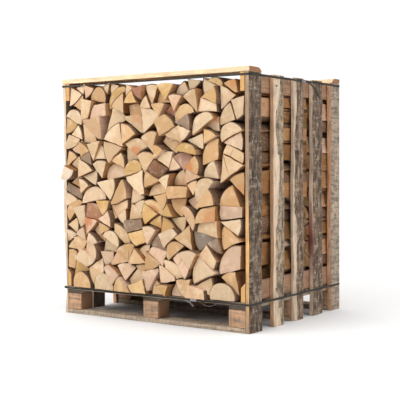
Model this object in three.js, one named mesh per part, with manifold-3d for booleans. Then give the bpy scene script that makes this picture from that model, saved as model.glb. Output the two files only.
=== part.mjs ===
// Palletised firewood: split billets stacked three deep on a block pallet, fenced on two sides by upright
// waney slabs, closed on top by two battens and tied round with two straps. The front and back are open.
//
// Millimetres. X runs along the open front, Y from the front (-) to the back (+), Z is up.
// The origin is the middle of the footprint, on the ground.
import * as THREE from "three";
import { mergeVertices } from "three/addons/utils/BufferGeometryUtils.js";
import Module from "manifold-3d";

// Driving dimensions
const WIDTH = 1000; // over the outer faces of the two slab fences
const DEPTH = 780; // of the pallet and the fences
const SLAB_HEIGHT = 1037; // the slabs stand on the ground, beside the pallet
const SLAB_THICK = 22;
const GAP = 0.3; // between pieces that touch

// Pallet
const BLOCK = 80;
const BOTTOM_BOARD_THICK = 20;
const BLOCK_TOP = 92;
const STRINGER_TOP = 107;
const DECK_TOP = 122;
const DECK_BOARD_WIDTH = 98;
const DECK_BOARDS = 5;

// Fences: each slab's centre along Y and its width
const RIGHT_SLABS = [
  { y: -342.5, width: 95 },
  { y: -160.5, width: 85 },
  { y: 10, width: 81 },
  { y: 177.5, width: 91 },
  { y: 346, width: 88 },
];
const LEFT_SLABS = [
  { y: -344, width: 92 },
  { y: -177, width: 90 },
  { y: -15, width: 86 },
  { y: 161, width: 88 },
  { y: 345, width: 90 },
];
const SLAB_STATIONS = 12; // points along each waney edge
const WANE = 5; // how far a waney edge wanders
const RAIL_THICK = 22;
const TOP_RAIL_BOTTOM = 960;
const LOW_RAIL_INNER_TOP = 180;
const LOW_RAIL_OUTER_TOP = 204;

// Battens across the top
const BATTEN_THICK = 21;
const FRONT_BATTEN_WIDTH = 96;
const REAR_BATTEN_WIDTH = 78;

// Straps
const STRAP_WIDTH = 10;
const STRAP_THICK = 1;
const TOP_STRAP_Z = 1026;
const BOTTOM_STRAP_Z = 115;
const SEAL_LENGTH = 30;
const SEAL_WALL = 1.2;
const TOP_SEAL_Y = 62;
const BOTTOM_SEAL_X = 225;
const TAIL_LENGTH = 125;
const TAIL_DROP_DEG = 25;

// Stacked billets
const BILLET_LENGTH = 250;
const ROW_PITCH = 263; // from one row's middle to the next
const COURSES = 6;
const STACK_TOP = 1018; // mean height of the top course
const TOP_RIPPLE = 12;
const COURSE_RIPPLE = 24;
const STEPS_ACROSS = 11; // of the stepped open ends
const MOST_PROUD = 52; // how far a billet may stick out at the front or back
const STACK_HALF_WIDTH = WIDTH / 2 - SLAB_THICK - 2;

const wasm = await Module();
wasm.setup();

const crate = new THREE.Group();

const timber = (color, roughness = 0.85) =>
  new THREE.MeshStandardMaterial({ color, roughness, metalness: 0 });
const palletBoard = timber(0xa08a72);
const palletBlock = timber(0xb58c66);
const slabBark = timber(0x7d7064, 0.92);
const railWood = timber(0xc4885c);
const freshBatten = timber(0xe6c88f, 0.75);
const billetEnd = timber(0xdcb98a, 0.8);
const strapPlastic = new THREE.MeshStandardMaterial({ color: 0x2f3432, roughness: 0.45, metalness: 0 });
const sealSteel = new THREE.MeshStandardMaterial({ color: 0xa8adad, roughness: 0.35, metalness: 0.9 });

function add(name, geometry, material) {
  const mesh = new THREE.Mesh(geometry, material);
  mesh.name = name;
  crate.add(mesh);
  return mesh;
}

// A board given by its lowest and highest corner.
function addBoard(name, low, high, material) {
  const size = high.map((h, i) => h - low[i]);
  const mesh = add(name, new THREE.BoxGeometry(...size), material);
  mesh.position.set(...low.map((l, i) => l + size[i] / 2));
  return mesh;
}

// A closed outline in the YZ plane, pushed along +X from x.
function addAlongX(name, outline, x, length, material) {
  const shape = new THREE.Shape(outline.map(([y, z]) => new THREE.Vector2(y, z)));
  const geometry = new THREE.ExtrudeGeometry(shape, { depth: length, bevelEnabled: false, curveSegments: 6 });
  geometry.applyMatrix4(new THREE.Matrix4().set(0, 0, 1, x, 1, 0, 0, 0, 0, 1, 0, 0, 0, 0, 0, 1));
  return add(name, geometry, material);
}

// A closed outline in the XZ plane, pushed along +Y from y.
function prismAlongY(outline, y, length) {
  const shape = new THREE.Shape(outline.map(([x, z]) => new THREE.Vector2(x, z)));
  const geometry = new THREE.ExtrudeGeometry(shape, { depth: length, bevelEnabled: false });
  const upright = new THREE.Matrix4().set(1, 0, 0, 0, 0, 0, -1, y + length, 0, 1, 0, 0, 0, 0, 0, 1);
  return geometry.applyMatrix4(upright);
}

function toSolid(geometry) {
  const bare = geometry.clone();
  bare.deleteAttribute("normal");
  bare.deleteAttribute("uv");
  const merged = mergeVertices(bare, 1e-4);
  return new wasm.Manifold(new wasm.Mesh({
    numProp: 3,
    vertProperties: merged.attributes.position.array,
    triVerts: new Uint32Array(merged.index.array),
  }));
}

function toGeometry(solid) {
  const mesh = solid.getMesh();
  const geometry = new THREE.BufferGeometry();
  geometry.setAttribute("position", new THREE.BufferAttribute(mesh.vertProperties, 3));
  geometry.setIndex(new THREE.BufferAttribute(mesh.triVerts, 1));
  geometry.computeVertexNormals();
  return geometry;
}

// Repeatable random numbers from 0 to 1.
function dice(seed) {
  let state = seed;
  return () => {
    state = (Math.imul(state, 1664525) + 1013904223) >>> 0;
    return state / 2 ** 32;
  };
}

function buildPallet() {
  const half = WIDTH / 2 - SLAB_THICK - GAP;
  const front = DEPTH / 2;
  const columns = { left: -half + BLOCK / 2, centre: 0, right: half - BLOCK / 2 };
  const rows = { front: -front + BLOCK / 2, middle: 0, rear: front - BLOCK / 2 };
  for (const [row, y] of Object.entries(rows)) {
    const [near, far] = [y - BLOCK / 2, y + BLOCK / 2];
    addBoard(`bottom_board_${row}`, [-half, near, 0], [half, far, BOTTOM_BOARD_THICK], palletBoard);
    for (const [column, x] of Object.entries(columns)) {
      addBoard(
        `block_${row}_${column}`,
        [x - BLOCK / 2, near, BOTTOM_BOARD_THICK + GAP],
        [x + BLOCK / 2, far, BLOCK_TOP],
        palletBlock,
      );
    }
  }
  for (const [column, x] of Object.entries(columns)) {
    addBoard(
      `stringer_${column}`,
      [x - BLOCK / 2, -front, BLOCK_TOP + GAP],
      [x + BLOCK / 2, front, STRINGER_TOP],
      palletBoard,
    );
  }
  const pitch = (DEPTH - DECK_BOARD_WIDTH) / (DECK_BOARDS - 1);
  for (let i = 0; i < DECK_BOARDS; i++) {
    const near = -front + i * pitch;
    addBoard(
      `deck_board_${i + 1}`,
      [-half, near, STRINGER_TOP + GAP],
      [half, near + DECK_BOARD_WIDTH, DECK_TOP],
      palletBoard,
    );
  }
}

// One slab's outline, with an edge that wanders on each side that isn't at the fence's end.
function slabOutline({ y, width }, number) {
  const wander = (z, phase) => {
    const turn = (z / SLAB_HEIGHT) * Math.PI;
    return 0.5 * WANE * (Math.sin(3 * turn + phase) + 0.6 * Math.sin(7.3 * turn + 2.1 * phase) - 1);
  };
  const atEnd = (edge) => Math.abs(edge) > DEPTH / 2 - 1;
  const edge = (side) => {
    const line = y + (side * width) / 2;
    return Array.from({ length: SLAB_STATIONS + 1 }, (_, i) => {
      const z = (SLAB_HEIGHT * i) / SLAB_STATIONS;
      return [line + (atEnd(line) ? 0 : side * wander(z, number + side)), z];
    });
  };
  return [...edge(1), ...edge(-1).reverse()];
}

function buildFence(name, side, slabs) {
  const outer = (side * WIDTH) / 2;
  const inner = outer - side * SLAB_THICK;
  slabs.forEach((slab, i) => {
    const outline = slabOutline(slab, i + 2 * side);
    addAlongX(`${name}_slab_${i + 1}`, outline, Math.min(outer, inner), SLAB_THICK, slabBark);
  });
  const railOuter = inner - side * GAP;
  const railInner = railOuter - side * RAIL_THICK;
  const [low, high] = [railInner, railOuter].sort((a, b) => a - b);
  const front = -DEPTH / 2;
  addBoard(
    `${name}_top_rail`,
    [low, front, TOP_RAIL_BOTTOM],
    [high, -front, SLAB_HEIGHT],
    railWood,
  );
  const railSection = [
    [railInner, DECK_TOP + GAP],
    [railOuter, DECK_TOP + GAP],
    [railOuter, LOW_RAIL_OUTER_TOP],
    [railInner, LOW_RAIL_INNER_TOP],
  ];
  if (side < 0) railSection.reverse();
  add(`${name}_bottom_rail`, prismAlongY(railSection, front, DEPTH), railWood);
}

// The rear-facing top corner of each batten is the rounded outside of the log it was sawn from.
function buildBattens() {
  const bottom = SLAB_HEIGHT + GAP;
  const top = SLAB_HEIGHT + BATTEN_THICK;
  const section = (edge, width, inward) => {
    const back = edge + inward * width;
    return [
      [edge, bottom],
      [back, bottom],
      [back - inward * 7, bottom + 0.5 * BATTEN_THICK],
      [back - inward * 18, bottom + 0.85 * BATTEN_THICK],
      [back - inward * 32, top],
      [edge, top],
    ];
  };
  const front = section(-DEPTH / 2, FRONT_BATTEN_WIDTH, 1);
  const rear = section(DEPTH / 2, REAR_BATTEN_WIDTH, -1).reverse();
  addAlongX("front_top_batten", front, -WIDTH / 2, WIDTH, freshBatten);
  addAlongX("rear_top_batten", rear, -WIDTH / 2, WIDTH, freshBatten);
}

// A flat band round the whole crate, wide along Z.
function strapLoop(z) {
  const corner = (grow) => [WIDTH / 2 + GAP + grow, DEPTH / 2 + GAP + grow];
  const loop = ([x, y]) => [[-x, -y], [x, -y], [x, y], [-x, y]].map((p) => new THREE.Vector2(...p));
  const band = new THREE.Shape(loop(corner(STRAP_THICK)));
  band.holes.push(new THREE.Path(loop(corner(0))));
  const geometry = new THREE.ExtrudeGeometry(band, { depth: STRAP_WIDTH, bevelEnabled: false });
  return geometry.translate(0, 0, z - STRAP_WIDTH / 2);
}

// The free end that hangs past the top strap's seal.
function strapTail() {
  const geometry = new THREE.BoxGeometry(STRAP_THICK, TAIL_LENGTH, STRAP_WIDTH);
  geometry.translate(0, TAIL_LENGTH / 2, 0);
  geometry.rotateX(THREE.MathUtils.degToRad(-TAIL_DROP_DEG));
  const start = TOP_SEAL_Y + SEAL_LENGTH / 2 + 3;
  return geometry.translate(WIDTH / 2 + GAP + STRAP_THICK / 2, start, TOP_STRAP_Z);
}

// A folded steel sleeve, open towards the strap that it grips.
function sealGeometry() {
  const half = STRAP_WIDTH / 2 + GAP;
  const [floor, back] = [GAP, 2 * GAP + STRAP_THICK];
  const outline = [
    [floor, half],
    [back, half],
    [back, -half],
    [floor, -half],
    [floor, -half - SEAL_WALL],
    [back + SEAL_WALL, -half - SEAL_WALL],
    [back + SEAL_WALL, half + SEAL_WALL],
    [floor, half + SEAL_WALL],
  ];
  return prismAlongY(outline, -SEAL_LENGTH / 2, SEAL_LENGTH);
}

function buildStraps() {
  const topLoop = toSolid(strapLoop(TOP_STRAP_Z)).add(toSolid(strapTail()));
  add("top_strap", toGeometry(topLoop), strapPlastic);
  add("bottom_strap", strapLoop(BOTTOM_STRAP_Z), strapPlastic);
  const topSeal = add("top_strap_seal", sealGeometry(), sealSteel);
  topSeal.position.set(WIDTH / 2, TOP_SEAL_Y - SEAL_LENGTH / 2, TOP_STRAP_Z);
  const bottomSeal = add("bottom_strap_seal", sealGeometry(), sealSteel);
  bottomSeal.rotation.z = -Math.PI / 2;
  bottomSeal.position.set(BOTTOM_SEAL_X, -DEPTH / 2, BOTTOM_STRAP_Z);
}

// The line between two courses, as a list of [x, z].
function courseLine(number, roll) {
  const step = (2 * STACK_HALF_WIDTH) / STEPS_ACROSS;
  const height = DECK_TOP + GAP + ((STACK_TOP - DECK_TOP) * number) / COURSES;
  const ripple = { 0: 0, [COURSES]: TOP_RIPPLE }[number] ?? COURSE_RIPPLE;
  return Array.from({ length: STEPS_ACROSS + 1 }, (_, i) => {
    const atFence = i === 0 || i === STEPS_ACROSS;
    const across = atFence ? 0 : (roll() - 0.5) * 0.4 * step;
    return [-STACK_HALF_WIDTH + i * step + across, height + (2 * roll() - 1) * ripple];
  });
}

// One row of billets, as one solid for each course, with open ends stepped as the billets' ends are.
function buildStack(row, middle, outward, seed) {
  const roll = dice(seed);
  const lines = Array.from({ length: COURSES + 1 }, (_, k) => courseLine(k, roll));
  for (let course = 0; course < COURSES; course++) {
    const [bottomCourse, topCourse] = [course === 0, course === COURSES - 1];
    const lower = lines[course];
    const upper = lines[course + 1].map(([x, z]) => [x, z - GAP]);
    const mostProud = topCourse ? 0 : MOST_PROUD;
    let solid = null;
    for (let i = 0; i < STEPS_ACROSS; i++) {
      const outline = [lower[i], lower[i + 1], upper[i + 1], upper[i]];
      const proud = (Math.floor(5 * roll()) / 4) * mostProud;
      const step = toSolid(prismAlongY(outline, middle - BILLET_LENGTH / 2 + outward * proud, BILLET_LENGTH));
      solid = solid ? solid.add(step) : step;
    }
    if (bottomCourse || topCourse) {
      const betweenRails = WIDTH - 2 * (SLAB_THICK + RAIL_THICK + 2 * GAP);
      solid = solid.intersect(toSolid(new THREE.BoxGeometry(betweenRails, 3 * DEPTH, 3 * SLAB_HEIGHT)));
    }
    add(`logs_${row}_course_${course + 1}`, toGeometry(solid), billetEnd);
  }
}

buildPallet();
buildFence("right", 1, RIGHT_SLABS);
buildFence("left", -1, LEFT_SLABS);
buildBattens();
buildStraps();
buildStack("front", -ROW_PITCH, -1, 11);
buildStack("middle", 0, 0, 23);
buildStack("rear", ROW_PITCH, 1, 37);

export default crate;
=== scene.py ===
"""A pallet crate of split firewood, finished round the frame that carries it."""
import itertools
import math
from contextlib import contextmanager

import bmesh
import bpy
import numpy as np
from bpy.props import FloatProperty, FloatVectorProperty, IntProperty, PointerProperty
from bpy.types import Operator, Panel, PropertyGroup
from mathutils import Matrix, Vector


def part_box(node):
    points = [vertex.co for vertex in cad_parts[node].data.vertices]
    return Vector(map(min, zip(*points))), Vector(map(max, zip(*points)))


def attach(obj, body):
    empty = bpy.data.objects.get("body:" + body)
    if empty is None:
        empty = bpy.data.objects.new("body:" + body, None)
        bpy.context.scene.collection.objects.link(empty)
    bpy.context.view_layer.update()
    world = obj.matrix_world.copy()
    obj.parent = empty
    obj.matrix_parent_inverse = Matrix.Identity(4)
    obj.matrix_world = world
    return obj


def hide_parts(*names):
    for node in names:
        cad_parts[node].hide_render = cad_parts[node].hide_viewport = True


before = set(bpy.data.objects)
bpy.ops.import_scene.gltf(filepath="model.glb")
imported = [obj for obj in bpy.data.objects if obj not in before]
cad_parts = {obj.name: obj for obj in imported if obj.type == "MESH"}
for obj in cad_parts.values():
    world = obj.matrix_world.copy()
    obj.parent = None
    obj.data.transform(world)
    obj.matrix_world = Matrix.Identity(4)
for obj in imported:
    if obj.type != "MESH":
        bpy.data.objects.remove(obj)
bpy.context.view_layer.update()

bl_info = {
    "name": "Firewood crate",
    "version": (1, 0, 0),
    "blender": (4, 5, 0),
    "location": "3D View > Sidebar > Firewood",
    "description": "Split logs, waney slabs, pallet and straps of a firewood crate",
    "category": "Add Mesh",
}

BODY = "root"
AXES = "xyz"
MM = 0.001
FULL_TURN = 6.28


# ---------------------------------------------------------------- what a user would change

def length(name, default, description):
    return FloatProperty(name=name, default=default, min=0.0, unit="LENGTH", description=description)


def share(name, default, description):
    return FloatProperty(
        name=name, default=default, min=0.0, max=1.0, subtype="FACTOR", description=description)


def colour(name, default, description):
    return FloatVectorProperty(
        name=name, default=default, size=3, min=0.0, max=1.0, subtype="COLOR", description=description)


def angle(name, degrees, description):
    return FloatProperty(
        name=name, default=math.radians(degrees), subtype="ANGLE", description=description)


def number(name, default, description, unit="NONE"):
    return FloatProperty(name=name, default=default, unit=unit, description=description)


class BilletSettings(PropertyGroup):
    """Sizes and colours of the split logs."""
    length: length("Length", 0.250, "Sawn length of a log")
    length_spread: length("Length spread", 0.007, "How far a log's length strays from that")
    radius: length("Round radius", 0.082, "Usual radius of the round logs before they were split")
    point_gap: length("Facet", 0.013, "Longest straight stretch in a log's outline")
    bark_thickness: length("Bark", 0.0035, "Thickness of the bark rim on a sawn end")
    fibre_relief: length("Fibre relief", 0.0024, "Height of the ridges on a split face")
    bark_relief: length("Bark relief", 0.0018, "Height of the ridges on the bark")
    most_proud: length("Most proud", 0.042, "How far a log may stick out of the open front or back")
    most_tilt: angle("Tilt", 2.2, "How far a log may lie askew")
    cut_slant: number("Cut slant", 0.13, "Slope of a sawn end that was cut askew")
    bend: length("Bend", 0.0045, "How crooked the split faces run")
    slack: share("Slack", 0.93, "Size of the logs beside the fences, as a share of the room they have")
    fit_gap: length("Fit gap", 0.0012, "Space left between stacked logs")
    seed: IntProperty(name="Seed", default=7, description="Another number stacks other logs")
    cream: colour("Cream", (0.72, 0.53, 0.335), "Fresh pale sawn end")
    tan: colour("Tan", (0.60, 0.365, 0.175), "Tan sawn end")
    yellow: colour("Yellow", (0.64, 0.39, 0.145), "Yellow sawn end")
    blush: colour("Blush", (0.67, 0.45, 0.31), "Pinkish sawn end")
    heart: colour("Heart", (0.48, 0.15, 0.04), "Red-brown heartwood")
    grey: colour("Weathered", (0.29, 0.195, 0.13), "Sawn end gone grey in the weather")
    split: colour("Split face", (0.34, 0.15, 0.042), "Split side of a log")
    split_dark: colour("Split face, dark", (0.12, 0.042, 0.014), "Darker fibres of a split side")
    bark: colour("Bark", (0.12, 0.060, 0.030), "Bark")
    bark_pale: colour("Bark, pale", (0.33, 0.205, 0.125), "Worn ridges of the bark")


class TimberSettings(PropertyGroup):
    """Sizes and colours of the sawn boards."""
    station: length("Station", 0.030, "Spacing of the points along a board")
    strip: length("Strip", 0.014, "Spacing of the points across a board")
    edge_round: length("Edge round", 0.0013, "Rounding of the sawn edges")
    relief: length("Relief", 0.0009, "Unevenness of a sawn face")
    wane: length("Wane", 0.011, "How far the round outside of the tree eats into a slab's corner")
    weathered: colour("Weathered", (0.235, 0.190, 0.150), "Slab face gone grey")
    bark: colour("Dark bark", (0.165, 0.112, 0.075), "Bark left on the darkest slab")
    bark_brown: colour("Brown bark", (0.250, 0.165, 0.110), "Thin purple-brown bark")
    bark_moss: colour("Mossy bark", (0.355, 0.265, 0.175), "Thin green-brown bark")
    fresh: colour("Fresh edge", (0.56, 0.37, 0.23), "Newly sawn slab edge")
    orange: colour("Orange edge", (0.70, 0.385, 0.21), "Sawn edge of a resinous slab")
    cream: colour("Cream edge", (0.66, 0.51, 0.37), "Pale sapwood edge")
    batten: colour("Batten", (0.83, 0.62, 0.385), "Fresh top batten")
    batten_end: colour("Batten end", (0.42, 0.20, 0.10), "End grain of the battens")
    # The rails' wood colour, partly darkened with painted shade for the shade they lie in behind the slabs.
    rail: colour("Rail", (0.36, 0.195, 0.11), "Fence rails")
    amber: colour("Amber", (0.74, 0.42, 0.15), "Resin-soaked wood and fresh rail ends")
    block: colour("Block", (0.40, 0.215, 0.11), "Pallet blocks")
    pallet: colour("Pallet board", (0.37, 0.285, 0.20), "Pallet boards that stand on the ground")
    # Painted shade: a dark colour that stands for the shade on the deck boards, the stringers and the inside
    # faces of the fence slabs.
    painted_shade: colour("Deck board", (0.10, 0.075, 0.055), "Pallet boards and slab faces that never see the sun")
    stain: colour("Stain", (0.25, 0.052, 0.045), "Red streak on one slab")


class StrapSettings(PropertyGroup):
    """Sizes and colours of the straps and seals."""
    corner: length("Corner radius", 0.006, "Radius at which a strap turns round a slab")
    thickness: length("Thickness", 0.0009, "Thickness of the strap")
    width: length("Width", 0.0085, "Width of the strap")
    tail: length("Tail", 0.150, "Length of the top strap's free end")
    twist: angle("Twist", 58, "How far the top strap turns its face up")
    colour: colour("Strap", (0.026, 0.025, 0.022), "Plastic of the strap")
    steel: colour("Seal", (0.42, 0.43, 0.43), "Steel of the seals")


class StageSettings(PropertyGroup):
    """Camera, light and floor."""
    eye: FloatVectorProperty(
        name="Eye", default=(2.4322, -3.4732, 0.6814), size=3, subtype="TRANSLATION", unit="LENGTH",
        description="Where the camera stands")
    turn: angle("Turn", 35.156, "Camera heading")
    nod: angle("Nod", -2.342, "Camera pitch")
    roll: angle("Roll", -0.341, "Camera roll")
    lens: number("Lens", 83.3, "Focal length in millimetres", "CAMERA")
    floor: colour("Floor", (0.84, 0.84, 0.84), "Studio floor")
    ceiling: number("Ceiling", 1.5, "Strength of the light from above")
    room: number("Room", 0.30, "Strength of the light from around")
    wall: number("Back wall", 1.06, "Brightness of the wall behind the crate")
    key: number("Key", 120.0, "Power of the large key light", "POWER")
    side: number("Side", 18.0, "Power of the side light", "POWER")


class CrateSettings(PropertyGroup):
    """Everything that can be changed about the crate."""
    billets: PointerProperty(type=BilletSettings)
    timber: PointerProperty(type=TimberSettings)
    straps: PointerProperty(type=StrapSettings)
    stage: PointerProperty(type=StageSettings)


def settings():
    return bpy.context.scene.firewood_crate


# ---------------------------------------------------------------- modelling helpers

def clear_selection():
    if bpy.context.object and bpy.context.object.mode != "OBJECT":
        bpy.ops.object.mode_set(mode="OBJECT")
    bpy.ops.object.select_all(action="DESELECT")


def take(*pieces):
    """Leaves only these pieces selected, the first of them active."""
    clear_selection()
    for piece in pieces:
        piece.select_set(True)
    bpy.context.view_layer.objects.active = pieces[0]


@contextmanager
def editing(piece, kind="FACE"):
    take(piece)
    bpy.ops.object.mode_set(mode="EDIT")
    bpy.ops.mesh.select_mode(type=kind)
    bpy.ops.mesh.select_all(action="SELECT")
    yield piece
    bpy.ops.object.mode_set(mode="OBJECT")


def pick(piece, kind, test):
    """Selects the faces, edges or vertices of the edited piece that pass the test."""
    bpy.ops.mesh.select_mode(type={"faces": "FACE", "edges": "EDGE", "verts": "VERT"}[kind])
    bpy.ops.mesh.select_all(action="DESELECT")
    shape = bmesh.from_edit_mesh(piece.data)
    chosen = [part for part in getattr(shape, kind) if test(part)]
    for part in chosen:
        part.select_set(True)
    bmesh.update_edit_mesh(piece.data)
    return len(chosen)


def named(piece, name):
    piece.name = piece.data.name = name
    return piece


def settle(piece):
    """Puts the piece's place into its mesh."""
    take(piece)
    bpy.ops.object.transform_apply(location=True, rotation=True, scale=True)
    return piece


def apply_modifier(piece, kind, **values):
    take(piece)
    modifier = piece.modifiers.new(kind.title(), kind)
    for key, value in values.items():
        setattr(modifier, key, value)
    bpy.ops.object.modifier_apply(modifier=modifier.name)


def smooth(piece, degrees=32):
    take(piece)
    bpy.ops.object.shade_smooth_by_angle(angle=math.radians(degrees))


def joined(pieces, name, degrees):
    """All the pieces as one, with that name."""
    take(*pieces)
    bpy.ops.object.join()
    piece = named(bpy.context.object, name)
    smooth(piece, degrees)
    return piece


def points_of(mesh, what="co"):
    values = np.empty(len(mesh.vertices) * 3)
    mesh.vertices.foreach_get(what, values)
    return values.reshape(-1, 3)


def flat(rows):
    return np.ascontiguousarray(rows, dtype=np.float32).ravel()


def set_points(mesh, points):
    mesh.vertices.foreach_set("co", flat(points))
    mesh.update()


def write_vectors(mesh, name, vectors):
    layer = mesh.attributes.get(name) or mesh.attributes.new(name, "FLOAT_VECTOR", "POINT")
    layer.data.foreach_set("vector", flat(vectors))


def write_colours(mesh, name, colours):
    layer = mesh.attributes.get(name) or mesh.attributes.new(name, "FLOAT_COLOR", "POINT")
    layer.data.foreach_set("color", flat(colours))


def wander(points, seed=0):
    """Smooth random heights from -1 to 1, about one bump to a unit."""
    cell = np.floor(points).astype(np.int64)
    part = points - cell
    ease = part * part * (3 - 2 * part)
    total = np.zeros(len(points))
    for corner in itertools.product((0, 1), repeat=3):
        at = cell + corner
        mixed = (at[:, 0] * 73856093) ^ (at[:, 1] * 19349663) ^ (at[:, 2] * 83492791) ^ (seed * 7919)
        mixed = (mixed ^ (mixed >> 13)) * 1274126177
        height = ((mixed ^ (mixed >> 16)) & 0xFFFF) / 0x7FFF - 1
        total += height * np.prod(np.where(corner, ease, 1 - ease), axis=1)
    return total


def ride(piece, slot, *nodes):
    """The piece moves with the crate and stands for the nodes. The slot is not used."""
    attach(piece, BODY)
    if nodes:
        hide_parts(*nodes)
    return piece


# ---------------------------------------------------------------- shader helpers

class Value:
    """A shader socket that adds Math nodes when it stands in an expression."""

    def __init__(self, finish, socket):
        self.finish, self.socket = finish, socket

    def math(self, operation, *others, swap=False):
        inputs = (*others, self) if swap else (self, *others)
        return self.finish.node("ShaderNodeMath", {"operation": operation}, dict(enumerate(inputs)))

    def __add__(self, other): return self.math("ADD", other)
    def __sub__(self, other): return self.math("SUBTRACT", other)
    def __mul__(self, other): return self.math("MULTIPLY", other)
    def __rsub__(self, other): return self.math("SUBTRACT", other, swap=True)
    def __pow__(self, other): return self.math("POWER", other)
    def __abs__(self): return self.math("ABSOLUTE")
    __radd__, __rmul__ = __add__, __mul__

    def above(self, low, high):
        """0 below low, 1 above high and smooth between."""
        return self.finish.node(
            "ShaderNodeMapRange", {"interpolation_type": "SMOOTHSTEP"},
            {"Value": self, "From Min": low, "From Max": high})

    def below(self, low, high):
        return 1 - self.above(low, high)


class Finish:
    """A material or a world that is built up node by node."""

    def __init__(self, name, owners="materials"):
        self.owner = getattr(bpy.data, owners).new(name)
        self.owner.use_nodes = True
        self.tree = self.owner.node_tree

    def node(self, kind, choices=None, inputs=None, out=0):
        made = self.tree.nodes.new(kind)
        for key, value in (choices or {}).items():
            setattr(made, key, value)
        for key, value in (inputs or {}).items():
            self.feed(made.inputs[key], value)
        return Value(self, made.outputs[out])

    def feed(self, socket, value):
        if isinstance(value, Value):
            self.tree.links.new(value.socket, socket)
        elif socket.type == "RGBA" and len(value) == 3:
            socket.default_value = (*value, 1.0)
        else:
            socket.default_value = value

    def attribute(self, name, out="Fac"):
        return self.node("ShaderNodeAttribute", {"attribute_name": name}, out=out)

    def split(self, value, kind="ShaderNodeSeparateXYZ"):
        made = self.node(kind, inputs={0: value})
        return [Value(self, socket) for socket in made.socket.node.outputs]

    def join(self, x, y, z):
        return self.node("ShaderNodeCombineXYZ", inputs={0: x, 1: y, 2: z})

    def stretch(self, vector, factors):
        return self.node("ShaderNodeVectorMath", {"operation": "MULTIPLY"}, {0: vector, 1: factors})

    def noise(self, vector, by=None, detail=4.0, roughness=0.55):
        """Noise over a vector that is first stretched by three factors, if there are any."""
        vector = self.stretch(vector, by) if by else vector
        return self.node("ShaderNodeTexNoise", {}, {
            "Vector": vector, "Scale": 1.0, "Detail": detail, "Roughness": roughness}, "Fac")

    def cells(self, vector, out="Distance", feature="F1"):
        return self.node("ShaderNodeTexVoronoi", {"feature": feature}, {"Vector": vector, "Scale": 1.0}, out)

    def cell_luck(self, vector):
        """A random number to each cell."""
        return self.split(self.cells(vector, out="Color"), "ShaderNodeSeparateColor")[0]

    def place(self):
        return self.node("ShaderNodeTexCoord", out="Object")

    def mix(self, first, second, factor, blend="MIX"):
        made = self.tree.nodes.new("ShaderNodeMix")
        made.data_type, made.blend_type = "RGBA", blend
        for key, value in ((0, factor), (6, first), (7, second)):
            self.feed(made.inputs[key], value)
        return Value(self, made.outputs[2])

    def dim(self, value, factor):
        """A colour made darker or lighter by a varying number."""
        return self.stretch(value, self.join(factor, factor, factor))

    def bump(self, height, distance, strength=1.0):
        return self.node("ShaderNodeBump", {}, {"Height": height, "Distance": distance, "Strength": strength})

    def done(self, base, roughness, normal=None, metallic=0.0, specular=0.35):
        inputs = {
            "Base Color": base, "Roughness": roughness, "Metallic": metallic, "Specular IOR Level": specular}
        if normal is not None:
            inputs["Normal"] = normal
        for key, value in inputs.items():
            self.feed(self.tree.nodes["Principled BSDF"].inputs[key], value)
        return self.owner


# ---------------------------------------------------------------- finishes

def sawn_end_finish(look):
    """Sawn end of a log: rings, rays, heartwood, drying cracks and a bark rim."""
    f = Finish("sawn_end")
    place = f.attribute("grain", "Vector")
    x, y, z = f.split(place)
    tint = f.attribute("tint", "Color")
    heart_share = f.attribute("tint", "Alpha")
    crack_turn, bark_left, luck = f.split(f.attribute("traits", "Vector"))
    flow = f.noise(place, (2.2, 0.7, 2.2), detail=3.0)
    radius = (x * x + z * z) ** 0.5
    wavy = radius + (flow - 0.5) * 0.16
    rings = (wavy * 118 + flow * 4).math("SINE") * 0.5 + 0.5
    rays = f.noise(f.join(x.math("ARCTAN2", z) * 22, radius * 2.0, luck * 40), detail=3.0)
    blotch = f.noise(place, (3.4, 1.0, 3.4), detail=5.0, roughness=0.6)
    base = f.dim(tint, 0.86 + rings * 0.07 + rays * 0.16)
    base = f.mix(base, f.mix(tint, (0.46, 0.22, 0.08), 0.6), blotch.above(0.48, 0.70) * 0.65)
    pale = f.noise(place, (2.1, 1.0, 2.1), detail=3.0)
    base = f.mix(base, f.mix(tint, (0.85, 0.70, 0.52), 0.5), pale.above(0.50, 0.68) * 0.5)
    heart = (wavy + (blotch - 0.5) * 0.7).below(0.40, 0.72) * heart_share
    base = f.mix(base, look.heart, heart * (0.6 + blotch * 0.6))
    fuzz = f.noise(place, (60, 10, 60), detail=4.0, roughness=0.7)
    base = f.dim(base, 0.78 + fuzz * 0.44)
    turn = crack_turn * FULL_TURN
    sine, cosine = turn.math("SINE"), turn.math("COSINE")
    across, along = x * sine + z * cosine, z * sine - x * cosine
    crack = abs(across + (flow - 0.5) * 0.07).below(0.004, 0.017)
    crack = crack * along.above(0.02, 0.10) * along.below(0.45, 0.80) * luck.above(0.45, 0.47)
    base = f.mix(base, (0.10, 0.05, 0.025), crack * 0.85)
    rim_edge = 1 - look.bark_thickness / look.radius
    rim = (radius + (fuzz - 0.5) * 0.02).above(rim_edge - 0.012, rim_edge) * bark_left
    base = f.mix(base, look.bark, rim * 0.9)
    kerf = f.noise(f.join(across * 42, y * 4, along * 2.5), detail=2.0)
    height = kerf * 0.6 + fuzz * 0.5 + rings * 0.12 - crack * 3 - rim * 0.8
    return f.done(base, 0.72 + fuzz * 0.2, f.bump(height, 0.0011, 0.7))


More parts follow.
